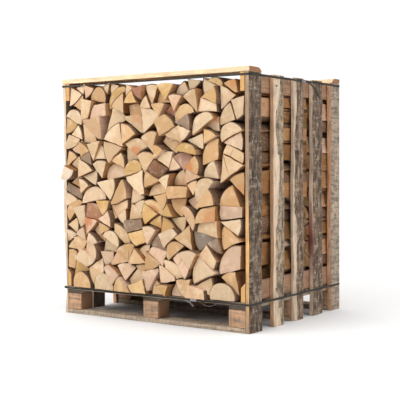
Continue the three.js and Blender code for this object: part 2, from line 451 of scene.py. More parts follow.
def split_face_finish(look):
    """Riven side of a log: long torn fibres."""
    f = Finish("split_face")
    place = f.attribute("grain", "Vector")
    tint = f.attribute("tint", "Color")
    warp = f.noise(place, (2.5, 1.2, 2.5), detail=2.0)
    x, y, z = f.split(place)
    lie = f.join(x * 26 + warp * 5, y * 2.6, z * 26 + warp * 5)
    fibres = f.noise(lie, detail=6.0, roughness=0.66)
    fine = f.noise(place, (150, 9, 150), detail=3.0, roughness=0.6)
    patch = f.noise(place, (4, 2.2, 4), detail=3.0)
    luck = f.split(f.attribute("traits", "Vector"))[0]
    wood = f.mix(f.dim(look.split, 0.60 + luck * 1.3), (0.60, 0.38, 0.25), luck * luck * 0.8)
    wood = f.mix(wood, (0.76, 0.55, 0.42), luck.above(0.65, 0.90) * 0.6)
    base = f.mix(wood, look.split_dark, fibres.above(0.46, 0.74) * 0.75)
    base = f.mix(base, f.mix(tint, look.cream, 0.4), patch.above(0.54, 0.72) * 0.35)
    base = f.dim(base, 0.80 + fine * 0.4)
    return f.done(base, 0.78 + fine * 0.16, f.bump(fibres + fine * 0.35, 0.0026, 0.8))


def bark_finish(look):
    """Bark: furrows along the log, worn pale on the ridges."""
    f = Finish("log_bark")
    place = f.attribute("grain", "Vector")
    x, y, z = f.split(place)
    luck = f.split(f.attribute("traits", "Vector"))[2]
    warp = f.noise(place, (6, 4, 6), detail=3.0)
    plates = f.cells(f.join(x * 9 + warp * 2, y * 4.5 + warp, z * 9 + warp * 2), feature="DISTANCE_TO_EDGE")
    ridge = plates.above(0.03, 0.30)
    fuzz = f.noise(place, (50, 22, 50), detail=5.0, roughness=0.7)
    lichen = f.noise(place, (3, 2, 3), detail=4.0).above(0.60, 0.72)
    base = f.mix(look.bark, look.bark_pale, ridge * (0.25 + fuzz * 0.6))
    base = f.mix(base, (0.34, 0.19, 0.11), luck * 0.6)
    base = f.mix(base, (0.33, 0.31, 0.24), lichen * 0.45)
    base = f.dim(base, 0.62 + fuzz * 0.7)
    return f.done(base, 0.86, f.bump(ridge + fuzz * 0.6, 0.0032, 0.8))


def timber_finish():
    """Sawn boards, whose colours and wear lie in the board's own attributes. All boards share it."""
    if "sawn_timber" in bpy.data.materials:
        return bpy.data.materials["sawn_timber"]
    f = Finish("sawn_timber")
    place = f.attribute("lie", "Vector")
    along, across, through = f.split(place)
    tone, skin = f.attribute("tone", "Color"), f.attribute("skin", "Color")
    weather, covered, end = f.split(f.attribute("wear", "Vector"))
    knot_place = f.stretch(place, (3.1, 10.5, 10.5))
    knot_far = f.cells(knot_place)
    knot_here = f.cell_luck(knot_place).above(0.60, 0.66)
    knot = knot_far.below(0.07, 0.13) * knot_here * (1 - end)
    flow = f.noise(place, (2.6, 9, 9), detail=2.0) * 5 + knot_far.below(0.05, 0.55) * knot_here * 7
    streaks = f.noise(
        f.join(along * 5, across * 120 + flow, through * 120 + flow), detail=6.0, roughness=0.62)
    broad = f.noise(
        f.join(along * 16, across * 50 + flow, through * 50 + flow), detail=5.0, roughness=0.65)
    fine = f.noise(place, (24, 700, 700), detail=3.0)
    cloud = f.noise(place, (7, 22, 22), detail=5.0, roughness=0.6)
    saw = f.noise(place, (85, 18, 18), detail=4.0, roughness=0.7)
    uneven = (streaks - 0.5) * 1.2 + (broad - 0.5) * 1.7
    base = f.dim(tone, 0.96 + uneven * (0.6 + weather * 4.0) + (fine - 0.5) * 0.3)
    base = f.mix(base, f.dim(tone, 0.52), cloud.above(0.52, 0.75) * 0.55)
    dark = saw.above(0.46, 0.57) * 0.5 + broad.above(0.44, 0.57) * 0.5
    grey = f.mix((0.62, 0.475, 0.355), (0.12, 0.088, 0.066), dark)
    base = f.mix(base, grey, weather * (0.35 + cloud * 0.9))
    base = f.mix(base, (0.15, 0.07, 0.035), knot * 0.85)
    flecks = f.noise(f.join(along * 34, across * 115 + flow, through * 115), detail=5.0, roughness=0.75)
    scales = f.noise(f.join(along * 60, across * 210, through * 210), detail=3.0, roughness=0.6)
    patches = f.noise(place, (24, 62, 62), detail=5.0, roughness=0.7)
    old = f.dim(skin, (1.0 + (patches - 0.5) * 5.0 + (scales - 0.5) * 0.8).math("MAXIMUM", 0.12))
    old = f.mix(old, f.dim(skin, 0.20), flecks.above(0.50, 0.60) * 0.75)
    old = f.mix(old, f.dim(skin, 0.30), broad.above(0.50, 0.62) * 0.60)
    old = f.mix(old, (0.50, 0.41, 0.32), (broad * 0.5 + saw * 0.5).below(0.38, 0.50) * 0.60)
    mask = (covered + (flecks - 0.5) * 0.9).above(0.38, 0.58)
    base = f.mix(base, old, mask)
    ring_far = ((across + 0.035) * (across + 0.035) + (through - 0.055) * (through - 0.055)) ** 0.5
    rings = ((ring_far + cloud * 0.006) * 1900).math("SINE") * 0.5 + 0.5
    base = f.mix(base, f.dim(tone, 0.70 + rings * 0.22 + cloud * 0.2), end * 0.85)
    height = streaks * 0.8 + fine * 0.3 + saw * (0.3 + weather) * (1 - end) - knot * 0.5
    height = height + mask * (1.2 + flecks * -1.8 + scales * 0.8) + rings * end * 0.5
    return f.done(base, 0.74 + fine * 0.14 + weather * 0.08, f.bump(height, 0.0018, 0.9))


def strap_finish(look, name="strap_plastic", dusty=(0.07, 0.06, 0.05)):
    """Embossed plastic strap."""
    f = Finish(name)
    place = f.place()
    x, y, z = f.split(place)
    diamonds = ((x + y + z) * 1500).math("SINE") * ((x + y - z) * 1500).math("SINE")
    dust = f.noise(place, (30, 30, 90), detail=5.0)
    base = f.mix(look.colour, dusty, dust.above(0.35, 0.62) * 0.8)
    return f.done(base, 0.55 + dust * 0.25, f.bump(diamonds, 0.0003, 0.5), specular=0.2)


def steel_finish(name, tone, rust):
    """Galvanised or rusting steel."""
    f = Finish(name)
    place = f.place()
    spangle = f.cell_luck(f.stretch(place, (260,) * 3))
    dirt = f.noise(place, (120,) * 3, detail=5.0)
    base = f.mix(tone, (0.20, 0.09, 0.045), dirt.above(0.45, 0.70) * rust)
    base = f.dim(base, 0.82 + spangle * 0.3)
    return f.done(base, 0.32 + dirt * 0.3, f.bump(dirt, 0.0002), metallic=0.9)


def studio_sky(look):
    """A bright ceiling and back wall in an otherwise dimmer white room."""
    f = Finish("studio", "worlds")
    way = f.node("ShaderNodeTexCoord", out="Generated")
    up = f.split(way)[2]
    back = Vector((-math.sin(look.turn), math.cos(look.turn), 0))
    facing = f.node("ShaderNodeVectorMath", {"operation": "DOT_PRODUCT"}, {0: way, 1: back}, "Value")
    wall = facing.above(0.88, 0.95) * up.below(0.28, 0.45)
    light = up.above(0.10, 0.80) * (look.ceiling - look.room) + look.room
    light = light.math("MAXIMUM", wall * look.wall)
    f.feed(f.tree.nodes["Background"].inputs["Color"], f.join(light, light, light))
    return f.owner


def floor_finish(look):
    f = Finish("studio_floor")
    cloud = f.noise(f.place(), (1.5,) * 3, detail=2.0)
    return f.done(f.dim(look.floor, 0.99 + cloud * 0.02), 0.9, specular=0.1)


# ---------------------------------------------------------------- split logs

# The ways to split a round log: how often each is taken, the log's radius as a share of the usual one, and
# the cuts. A cut keeps the side that its direction in degrees points to, from so many radii off the pith on.
SPLITS = {
    "half": (5, 0.74, ((90, 0.0),)),
    "fat_half": (3, 0.66, ((90, -0.28),)),
    "thin_half": (3, 0.80, ((90, 0.26), (0, -0.80))),
    "quarter": (10, 1.00, ((0, 0.02), (90, 0.0))),
    "skew_quarter": (7, 0.98, ((0, 0.0), (74, 0.0))),
    "wide_quarter": (9, 1.04, ((0, 0.0), (108, 0.0))),
    "sixth": (10, 1.16, ((0, 0.0), (120, 0.0))),
    "eighth": (7, 1.30, ((0, 0.0), (134, 0.04))),
    "blunt_quarter": (7, 1.08, ((0, 0.0), (90, 0.0), (45, 0.40))),
    "inner_quarter": (6, 1.08, ((0, 0.0), (90, 0.0), (225, -0.80))),
    "inner_wedge": (6, 1.28, ((0, 0.0), (112, 0.0), (236, -0.76))),
    "kite": (6, 1.20, ((0, 0.0), (100, 0.0), (200, -0.66))),
    "board": (2, 0.90, ((90, 0.02), (270, -0.64), (4, -0.62))),
    "plank": (2, 0.86, ((84, -0.34), (272, -0.40), (0, -0.52))),
    "chunk": (5, 0.98, ((10, 0.0), (96, -0.10), (190, -0.76))),
    "shard": (5, 1.30, ((0, 0.26), (118, 0.10))),
}
# How far the stack's top sags below the battens at places across it.
SAG = (
    (-0.48, 0.004), (-0.22, 0.002), (-0.16, 0.020), (0.10, 0.024), (0.18, 0.012), (0.34, 0.008),
    (0.40, 0.022), (0.48, 0.016),
)
# The rows of logs: which way each faces, how large its logs are and what it adds to the seed.
ROWS = (("front", -1, 1.08, 3), ("middle", 0, 0.84, 0), ("rear", 1, 0.84, 0))
# Logs of the front row that stand out, by their place across and up.
SPECIAL = (
    ((-0.442, 0.63), {"proud": 1.2, "tint": (0.70, 0.56, 0.42)}),
    ((0.060, 0.655), {"tint": (0.17, 0.085, 0.045), "proud": 0.5}),
    ((0.170, 0.700), {"tint": (0.36, 0.20, 0.14), "proud": 0.3}),
    ((0.300, 0.380), {"tint": (0.25, 0.195, 0.15), "proud": 0.3}),
    ((-0.040, 0.985), {"tint": (0.34, 0.15, 0.09)}),
    ((0.120, 0.930), {"tint": (0.32, 0.14, 0.08)}),
    ((-0.270, 0.470), {"tint": (0.36, 0.17, 0.09), "proud": 0.2}),
)
SEGMENTS = 8  # along a log
ROUND = 40  # corners of a round log
BARK_FROM = 0.965  # share of the round log's radius from which on a point is on its outside
END_RINGS = (0.94, 0.62)  # rings of points in a sawn end, as shares of its size
TURNS = 20  # ways round that each split log is tried
LARGE, SMALL = (0.80, 0.90, 1.02), (0.52, 0.66)  # sizes to try first, and where none of those fits
COLUMN = 0.004  # width of the columns in which the stack's top is measured
WIDEST, NARROWEST = 48, 8  # columns that a log may take up
BACK, AHEAD = 30, 4  # columns to the left and right of the lowest place at which a log may start
TRIED = 170  # sections tried in one place
SLIT = 0.03  # a gap beside a fence that is too narrow for a log
SLIT_COST, HEIGHT_COST, UPRIGHT_COST, WHIM = 0.02, 0.35, 0.018, 0.0015  # against the air under a log
CELL = 0.002  # of the grid in which the logs are eased together
ROUNDS = 60  # of easing
MOST_GROWN, MOST_FLAT = 1.28, 1.45  # how far easing may swell a log, and flatten it
BY_FENCE = 0.06  # depth beside a fence in which logs are given slack


def spin(turn):
    """The matrix that turns flat points by an angle."""
    return np.array([[math.cos(turn), -math.sin(turn)], [math.sin(turn), math.cos(turn)]])


def outline_of(points):
    """The convex outline of (n, 2) points, anticlockwise."""
    order = sorted(map(tuple, np.round(points, 6)))
    chains = []
    for run in (order, order[::-1]):
        chain = []
        for p in run:
            while len(chain) > 1 and (
                (chain[-1][0] - chain[-2][0]) * (p[1] - chain[-2][1])
                - (chain[-1][1] - chain[-2][1]) * (p[0] - chain[-2][0])) <= 1e-9:
                chain.pop()
            chain.append(p)
        chains.append(chain[:-1])
    return np.array(chains[0] + chains[1])


def area_of(outline):
    after = np.roll(outline, -1, axis=0)
    return 0.5 * float(np.sum(outline[:, 0] * after[:, 1] - after[:, 0] * outline[:, 1]))


def split_log(name, look, finishes):
    """One log as the splitter leaves it: a round section, cut by planes and pulled out to length."""
    _, size, cuts = SPLITS[name]
    radius = look.radius * size
    clear_selection()
    bpy.ops.mesh.primitive_circle_add(
        vertices=ROUND, radius=radius, fill_type="NGON", rotation=(math.pi / 2, 0, 0))
    log = named(settle(bpy.context.object), f"split_{name}")
    with editing(log):
        for turn, depth in cuts:
            keep = Vector((math.cos(math.radians(turn)), 0, math.sin(math.radians(turn))))
            bpy.ops.mesh.select_all(action="SELECT")
            bpy.ops.mesh.bisect(plane_co=keep * depth * radius, plane_no=keep, clear_inner=True)
        while pick(log, "edges", lambda edge: edge.calc_length() > look.point_gap * 1.35):
            bpy.ops.mesh.subdivide(number_cuts=1)
        pick(log, "faces", lambda face: True)
        for _ in range(SEGMENTS):
            bpy.ops.mesh.extrude_region_move(
                TRANSFORM_OT_translate={"value": (0, look.length / SEGMENTS, 0)})
        bpy.ops.mesh.select_all(action="SELECT")
        bpy.ops.mesh.normals_make_consistent(inside=False)
        pick(log, "faces", lambda face: abs(face.normal.y) > 0.9)
        verts = bmesh.from_edit_mesh(log.data).verts
        middle = sum((vert.co for vert in verts), Vector()) / len(verts)
        for size_left in END_RINGS:
            bpy.ops.mesh.extrude_region_move()
            bpy.ops.transform.resize(value=(size_left, 1, size_left), center_override=middle)
        bpy.ops.mesh.poke()
    mesh = log.data
    for finish in finishes:
        mesh.materials.append(finish)
    for face in mesh.polygons:
        if abs(face.normal.y) < 0.5:
            outside = math.hypot(face.center.x, face.center.z) > radius * BARK_FROM
            face.material_index = 2 if outside else 1
    points = points_of(mesh)
    points[:, 1] -= look.length / 2
    set_points(mesh, points)
    return {"object": log, "radius": radius, "outline": outline_of(points[:, [0, 2]])}


class Candidate:
    """A log section turned and stretched one way, with its underside and top as heights over its columns."""

    def __init__(self, kind, outline, turn, stretch, mirror):
        self.kind, self.stretch = kind, stretch
        self.matrix = spin(turn) @ np.diag((stretch * mirror, stretch))
        shape = outline @ self.matrix.T
        if mirror < 0:
            shape = shape[::-1]
        self.corner = shape.min(axis=0)
        self.outline = shape - self.corner
        self.area = area_of(self.outline)
        width, self.height = self.outline.max(axis=0)
        self.count = max(2, int(math.ceil(width / COLUMN)))
        middles = (np.arange(self.count) + 0.5) * width / self.count
        low, high = np.full(self.count, -1.0), np.full(self.count, 9.0)
        for (x, z), (dx, dz) in zip(self.outline, np.roll(self.outline, -1, axis=0) - self.outline):
            if abs(dx) > 1e-6:
                line = z + (middles - x) * dz / dx
                low, high = (np.maximum(low, line), high) if dx > 0 else (low, np.minimum(high, line))
        self.low, self.high = np.maximum(low, 0.0), np.minimum(high, self.height)


def make_candidates(kinds, rng, stretches):
    made = []
    for kind, template in kinds.items():
        for stretch in stretches:
            for step in range(TURNS):
                turn = 2 * math.pi * (step + rng.random()) / TURNS
                made.append(Candidate(kind, template["outline"], turn, stretch, rng.choice((-1, 1))))
    return [c for c in made if c.count <= WIDEST]


def stack_row(room, kinds, rng, size):
    """Lays logs one by one where each leaves least air under it, as a person does, and returns them."""
    tables = []
    for stretches in (LARGE, SMALL):
        group = make_candidates(kinds, rng, [stretch * size for stretch in stretches])
        low = np.full((len(group), WIDEST), np.inf)
        high = np.full((len(group), WIDEST), -np.inf)
        for i, c in enumerate(group):
            low[i, :c.count], high[i, :c.count] = c.low, c.high
        often = np.array([SPLITS[c.kind][0] for c in group], float)
        upright = np.array([max(0.0, c.height / (c.count * COLUMN) - 0.7) for c in group])
        areas, counts = np.array([c.area for c in group]), np.array([c.count for c in group])
        tables.append((group, low, high, areas, counts, upright, often / often.sum()))
    columns = int(round((room["right"] - room["left"]) / COLUMN))
    middles = room["left"] + (np.arange(columns) + 0.5) * COLUMN
    top = np.where(np.abs(middles) < room["rail"], room["floor"], room["low_rail"])
    ceiling = np.where(
        np.abs(middles) < room["rail"], room["ceiling"] - np.interp(middles, *zip(*SAG)), room["high_rail"])
    shut = np.zeros(columns, bool)
    laid = []
    while not shut.all():
        level = np.convolve(np.pad(top, 4, mode="edge"), np.ones(9) / 9, "valid")
        lowest = int(np.argmin(np.where(shut, np.inf, level)))
        best = None
        for group, low, high, areas, counts, upright, often in tables:
            few = rng.choice(len(group), min(len(group), TRIED), replace=False, p=often)
            starts = np.arange(max(0, lowest - BACK), min(columns - NARROWEST, lowest + AHEAD))
            window = starts[:, None] + np.arange(WIDEST)
            inside = window < columns
            ground = np.where(inside, top[np.minimum(window, columns - 1)], 0.0)
            roof = np.where(inside, ceiling[np.minimum(window, columns - 1)], np.inf)
            under, over = low[few][:, None], high[few][:, None]
            rest = np.max(ground - under, axis=2)
            air = np.where(np.isfinite(under), rest[..., None] + under - ground, 0.0)
            air = np.sum(air, axis=2) * COLUMN
            fits = np.max(rest[..., None] + over - roof, axis=2) <= 0
            ends = starts[None] + counts[few][:, None]
            fits &= (ends <= columns) & (starts[None] <= lowest) & (ends > lowest)
            wall = np.minimum(starts[None], columns - ends) * COLUMN
            slit = np.where((wall > 0) & (wall < SLIT), wall * SLIT_COST, 0.0)
            score = (air + slit) / np.sqrt(areas[few])[:, None] + (rest - top[lowest]) * HEIGHT_COST
            score = score + upright[few][:, None] * UPRIGHT_COST
            score = np.where(fits, score + rng.random(score.shape) * WHIM, np.inf)
            if np.isfinite(score).any():
                i, j = np.unravel_index(np.argmin(score), score.shape)
                best = (group[few[i]], int(starts[j]), float(rest[i, j]))
                break
        if best is None:
            shut[max(0, lowest - 1):lowest + 2] = True
            continue
        piece, start, height = best
        spread = slice(start, start + piece.count)
        top[spread] = np.maximum(top[spread], height + piece.high)
        laid.append({
            "kind": piece.kind, "outline": kinds[piece.kind]["outline"], "matrix": piece.matrix,
            "shift": np.array((room["left"] + start * COLUMN, height)) - piece.corner,
            "limit": piece.stretch * MOST_GROWN})
    return ease_together(laid, room, rng)


def miss(item, place):
    """How far a log lies from a place, less for a thick log than for a thin one."""
    middle = item["outline"].mean(axis=0) @ item["matrix"].T + item["shift"]
    size = math.sqrt(area_of(item["outline"]) * abs(np.linalg.det(item["matrix"])))
    return np.hypot(*(middle - place)) - 0.4 * size


def ease_together(laid, room, rng):
    """Nudges and swells each log into the air round it, as far as its neighbours let it."""
    least, most = np.array((room["left"], room["floor"])), np.array((room["right"], room["ceiling"]))
    wide, tall = ((most - least) / CELL).astype(int)
    x = room["left"] + (np.arange(wide) + 0.5) * CELL
    z = room["floor"] + (np.arange(tall) + 0.5) * CELL
    owner = np.zeros((wide, tall), np.int32)
    by_rail = np.abs(x) > room["rail"]
    owner[np.ix_(by_rail, z < room["low_rail"])] = -1
    owner[np.ix_(by_rail, z > room["high_rail"])] = -1
    owner[z[None] > room["ceiling"] - np.interp(x, *zip(*SAG))[:, None]] = -1

    def covered(item):
        """The part of the grid round a log and the cells there that it covers, or None outside the room."""
        outline = item["outline"] @ item["matrix"].T + item["shift"]
        if np.linalg.det(item["matrix"]) < 0:
            outline = outline[::-1]
        low, high = outline.min(axis=0), outline.max(axis=0)
        if (low < least).any() or (high > most).any():
            return None
        first, last = (((corner - least) / CELL).astype(int) for corner in (low, high))
        part = tuple(map(slice, first, last + 1))
        px, pz = x[part[0], None], z[None, part[1]]
        mask = np.ones((len(px), pz.shape[1]), bool)
        for (ax, az), (bx, bz) in zip(outline, np.roll(outline, -1, axis=0)):
            mask &= (bx - ax) * (pz - az) - (bz - az) * (px - ax) >= -1e-7
        return part, mask

    for owned, item in enumerate(laid, 1):
        place = covered(item)
        if place:
            region = owner[place[0]]
            region[place[1] & (region == 0)] = owned
    for _ in range(ROUNDS):
        for owned in rng.permutation(len(laid)) + 1:
            item = laid[owned - 1]
            turn, grow = rng.random() * math.pi, 1 + 0.05 * rng.random()
            axis = np.array((math.cos(turn), math.sin(turn)))
            swell = np.eye(2) + (grow - 1) * np.outer(axis, axis)
            matrix = swell @ spin((rng.random() - 0.5) * 0.05) @ item["matrix"]
            keep = (item["matrix"] - matrix) @ item["outline"].mean(axis=0)
            trial = {**item, "matrix": matrix, "shift": item["shift"] + keep + (rng.random(2) - 0.5) * 0.004}
            sizes = np.linalg.svd(matrix, compute_uv=False)
            if sizes[0] > item["limit"] or sizes[0] / sizes[1] > MOST_FLAT:
                continue
            place = covered(trial)
            if place is None:
                continue
            region = owner[place[0]]
            if np.isin(region[place[1]], (0, owned)).all():
                owner[owner == owned] = 0
                region[place[1]] = owned
                laid[owned - 1] = trial
    return laid


def bend_stack(points, room, look):
    """One gentle random bending of all the logs at once, which keeps neighbours fitting each other."""
    x, z = points[:, 0], points[:, 2]
    edge = np.min((x - room["left"], room["right"] - x, z - room["floor"], room["ceiling"] - z), axis=0)
    hold = np.clip(edge / 0.035, 0, 1)
    for axis, seed in ((0, 61), (2, 62)):
        coarse = wander(points * (17, 3.5, 17), seed)
        fine = wander(points * (48, 7, 48), seed + 10)
        points[:, axis] += hold * (coarse * look.bend + fine * look.bend * 0.34)
    return points


def choose_tint(look, rng):
    """The colour of a log's sawn end, and how much red heartwood shows in it."""
    palette = (look.cream, look.tan, look.yellow, look.blush, look.grey)
    grey = len(palette) - 1
    first, second = rng.choice(len(palette), 2, p=(0.43, 0.31, 0.14, 0.11, 0.01))
    if grey in (first, second):
        first = second = grey
    share_of_first = rng.random()
    tint = share_of_first * np.array(palette[first]) + (1 - share_of_first) * np.array(palette[second])
    heart = rng.random() if rng.random() < 0.14 and first != grey else 0.0
    return tint * (0.80 + 0.22 * rng.random()), heart


def lay_log(template, item, room, span, look, rng, order):
    """A copy of a split log, in its place in the stack, worn in its own way."""
    log = template["object"].copy()
    log.data = template["object"].data.copy()
    bpy.context.collection.objects.link(log)
    mesh = log.data
    points, normals = points_of(mesh), points_of(mesh, "normal")
    own = points / template["radius"]
    own[:, 1] += rng.random() * 50
    tint, heart = choose_tint(look, rng)
    tint = item.get("tint", tint)
    write_vectors(mesh, "grain", own)
    write_colours(mesh, "tint", np.tile((*tint, heart), (len(points), 1)))
    traits = (rng.random(), float(rng.random() < 0.8), rng.random())
    write_vectors(mesh, "traits", np.tile(traits, (len(points), 1)))
    reach = np.hypot(points[:, 0], points[:, 2]) / template["radius"]
    at_end = np.abs(points[:, 1]) > look.length / 2 - 1e-4
    on_end = np.abs(normals[:, 1]) > 0.9
    skin = np.where(on_end, 0.0, 1.0)[:, None]
    relief = np.where(reach > BARK_FROM, look.bark_relief, look.fibre_relief)
    bumps = wander(points * (55, 7, 55), order) * 0.7 + wander(points * (24, 11, 24), order + 500) * 0.8
    outward = normals * (1, 0, 1)
    points += outward * skin * (relief * bumps - look.fit_gap / 2)[:, None]
    frayed = at_end & ~on_end
    points[frayed, 1] -= np.sign(points[frayed, 1]) * 0.0012 * (1 + wander(points[frayed] * 160, order))
    along = points[:, 1] / look.length
    taper = 1 - 0.05 * rng.random() * (0.5 - along * rng.choice((-1, 1)))
    section = (points[:, [0, 2]] * taper[:, None]) @ item["matrix"].T
    middle = section.mean(axis=0)
    twist = (rng.random() - 0.5) * 0.10 * along
    turned = section - middle
    section[:, 0] = middle[0] + turned[:, 0] * np.cos(twist) - turned[:, 1] * np.sin(twist)
    section[:, 1] = middle[1] + turned[:, 0] * np.sin(twist) + turned[:, 1] * np.cos(twist)
    bow = (rng.random(2) - 0.5) * 0.010
    lean = (rng.random(2) - 0.5) * math.tan(look.most_tilt) * look.length
    section += item["shift"] + bow * (4 * along[:, None] ** 2 - 1) * 0.5 + lean * along[:, None]
    stretch = (look.length + (rng.random() - 0.5) * 2 * look.length_spread) / look.length
    slants = (rng.random((2, 2)) - 0.5) * 2 * look.cut_slant
    slope = np.where(points[:, 1:2] > 0, slants[0], slants[1])
    skewed = np.sum((section - item["shift"] - middle) * slope, axis=1) * np.abs(2 * along) ** 3
    depth = points[:, 1] * stretch + skewed
    high_up = section[:, 1].max() > span["strap"]
    from_side = room["right"] - abs(section[:, 0].mean())
    if from_side < BY_FENCE and span["outward"] < 1:
        section = section.mean(axis=0) + (section - section.mean(axis=0)) * look.slack
    proud = rng.random() ** 0.8 * (0.2 if from_side < 0.10 else 1.0)
    step = 0.0 if high_up else span["outward"] * look.most_proud * item.get("proud", proud)
    depth += (span["near"] + span["far"]) / 2 + step + (rng.random() - 0.5) * 0.006
    if span["outward"]:
        limit = span["edge"] if not high_up else span["flush"]
        over = (depth * span["outward"]).max() - limit * span["outward"]
        depth -= max(0.0, over) * span["outward"]
    set_points(mesh, bend_stack(np.column_stack((section[:, 0], depth, section[:, 1])), room, look))
    if np.linalg.det(item["matrix"]) < 0:
        mesh.flip_normals()
    return log, float(section[:, 1].mean())


class FIREWOOD_OT_stack(Operator):
    """Stacks the split logs in three rows between the fences"""
    bl_idname = "firewood.stack"
    bl_label = "Split logs"

    def execute(self, context):
        look = settings().billets
        finishes = (sawn_end_finish(look), split_face_finish(look), bark_finish(look))
        kinds = {name: split_log(name, look, finishes) for name in SPLITS}
        fence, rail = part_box("left_slab_3")[1].x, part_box("right_top_rail")[0].x
        clear = 1.5 * MM
        room = {
            "left": fence + clear, "right": -fence - clear, "rail": rail - clear,
            "floor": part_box("deck_board_1")[1].z + clear,
            "ceiling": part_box("front_top_batten")[0].z - 5 * MM,
            "low_rail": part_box("right_bottom_rail")[1].z + clear,
            "high_rail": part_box("right_top_rail")[0].z - clear,
        }
        courses = sum(name.startswith("logs_front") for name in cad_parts)
        for row, outward, size, more_seed in ROWS:
            rng = np.random.default_rng((look.seed + more_seed, outward + 1))
            boxes = [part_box(f"logs_{row}_course_{k + 1}") for k in range(courses)]
            low, high = boxes[-1]
            edge = max(max(-box[0].y, box[1].y) for box in boxes) * outward
            span = {
                "near": low.y, "far": high.y, "outward": outward, "edge": edge,
                "flush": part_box("right_top_rail")[1].y * outward,
                "strap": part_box("top_strap_seal")[0].z - 4 * MM,
            }
            laid = stack_row(room, kinds, rng, size)
            for place, special in SPECIAL if row == "front" else ():
                min(laid, key=lambda item: miss(item, place)).update(special)
            piles = [[] for _ in range(courses)]
            for order, item in enumerate(laid):
                log, height = lay_log(kinds[item["kind"]], item, room, span, look, rng, order)
                level = (height - room["floor"]) / (room["ceiling"] - room["floor"])
                piles[min(courses - 1, max(0, int(level * courses)))].append(log)
            for k, pile in enumerate(piles, 1):
                ride(joined(pile, f"split_logs_{row}_{k}", 38), "billets", f"logs_{row}_course_{k}")
        for template in kinds.values():
            bpy.data.objects.remove(template["object"])
        return {"FINISHED"}


# ---------------------------------------------------------------- boards

TOUCHING = 2e-5  # how near a point of a board has to be to a face to lie in it


def cut_across(piece, axis, spacing):
    """Even cuts across the edited board, at right angles to the axis."""
    points = [v.co[axis] for v in bmesh.from_edit_mesh(piece.data).verts]
    low, high = min(points), max(points)
    count = int((high - low) / spacing)
    direction = [0.0, 0.0, 0.0]
    direction[axis] = 1.0
    for i in range(1, count):
        place = [0.0, 0.0, 0.0]
        place[axis] = low + (high - low) * i / count
        bpy.ops.mesh.select_all(action="SELECT")
        bpy.ops.mesh.bisect(plane_co=place, plane_no=direction)


def make_board(node, slot, grain, tones, seed, weather=0.2, edge_wear=0.15, skin=None, pale=0.0, flame=None,
               wane=0.0):
    """A rough board in the place of a plain one.

    grain is the board's axes along, across and through it, and tones are the colours of its outer face,
    inner face, low and high sides and ends. weather is how grey the board has gone, and edge_wear how much of
    that shows on its sides. skin is the colour of the bark or old wood that covers the outer face from the
    pale share of its width on. flame is a stain on the low side: its colour, its place along the board and
    its reach. wane is how deep the outer face's low edge is rounded away.
    """
    look = settings().timber
    board = bpy.data.objects.new(node + "_rough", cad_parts[node].data.copy())
    bpy.context.collection.objects.link(board)
    board.data.name = board.name
    board.data.materials.clear()
    board.data.materials.append(timber_finish())
    along, across, through = (AXES.index(axis) for axis in grain)
    low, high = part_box(node)
    with editing(board, "VERT"):
        bpy.ops.mesh.remove_doubles(threshold=0.00002)
        bpy.ops.mesh.dissolve_limited(angle_limit=math.radians(2.0))
        cut_across(board, along, look.station)
        cut_across(board, across, look.strip)
    apply_modifier(board, "BEVEL", width=look.edge_round, segments=2, limit_method="ANGLE",
                   angle_limit=math.radians(40))
    mesh = board.data
    points, normals = points_of(mesh), points_of(mesh, "normal")
    a, t = points[:, along], points[:, through]
    outward = 1.0 if abs(high[through]) >= abs(low[through]) else -1.0
    outside, inside = (high, low) if outward > 0 else (low, high)
    outer_plane, inner_plane = outside[through], inside[through]
    outer, inner = np.abs(t - outer_plane) < TOUCHING, np.abs(t - inner_plane) < TOUCHING
    ends = (np.abs(a - low[along]) < TOUCHING) | (np.abs(a - high[along]) < TOUCHING)
    width = (points[:, across] - low[across]) / (high[across] - low[across])
    near = tones["low side"]
    if flame:
        heat = np.clip(1 - np.abs(a - flame[1]) / flame[2], 0, 1) ** 0.5
        near = near + (np.array(flame[0]) - near) * heat[:, None]
    colours = np.where((width < 0.5)[:, None], near, tones["high side"])
    colours = np.where(inner[:, None], tones["inner"], colours)
    colours = np.where(outer[:, None], tones["outer"], colours)
    colours = np.where(ends[:, None], tones["end"], colours)
    line = pale * (1 + 0.55 * wander(np.column_stack((a * 6, a * 0 + seed, a * 0)), seed))
    covered = np.clip((width - line) / 0.12 + 0.5, 0, 1) * outer * (skin is not None)
    worn = weather * np.where(
        outer, 0.15 + 0.85 * np.clip((width - line) / 0.10, 0, 1), np.where(inner, 0.5, edge_wear))
    if wane:
        rim = np.clip(1 - width / (pale + 0.14), 0, 1)
        rise = np.abs(t - inner_plane) / abs(outer_plane - inner_plane)
        bite = 0.75 + 0.6 * wander(np.column_stack((a * 9, width * 2, a * 0)), seed + 3)
        shift = wane * np.clip(bite, 0.1, 1.4) * rim * rise * (1 - 0.8 * ends)
        points[:, through] -= outward * shift
    write_vectors(mesh, "lie", np.column_stack((
        a + seed * 3.7, points[:, across] - low[across], points[:, through] - low[through])))
    write_colours(mesh, "tone", np.column_stack((colours, np.ones(len(points)))))
    write_colours(mesh, "skin", np.tile((*((0, 0, 0) if skin is None else skin), 1), (len(points), 1)))
    write_vectors(mesh, "wear", np.column_stack((worn, covered, ends)))
    scale = np.full(3, 60.0)
    scale[along] = 11.0
    bumps = wander(points * scale, seed) * 0.6 + wander(points * scale * 0.35, seed + 40) * 0.7
    inward = np.minimum(bumps - 0.9, 0.0) * look.relief * (1 + covered) * np.where(ends, 0.25, 1.0)
    set_points(mesh, points + normals * inward[:, None])
    smooth(board, 30)
    return ride(board, slot, node)


def plain_tones(side, end):
    side, end = np.array(side), np.array(end)
    return {"outer": side, "inner": side, "low side": side, "high side": side, "end": end}


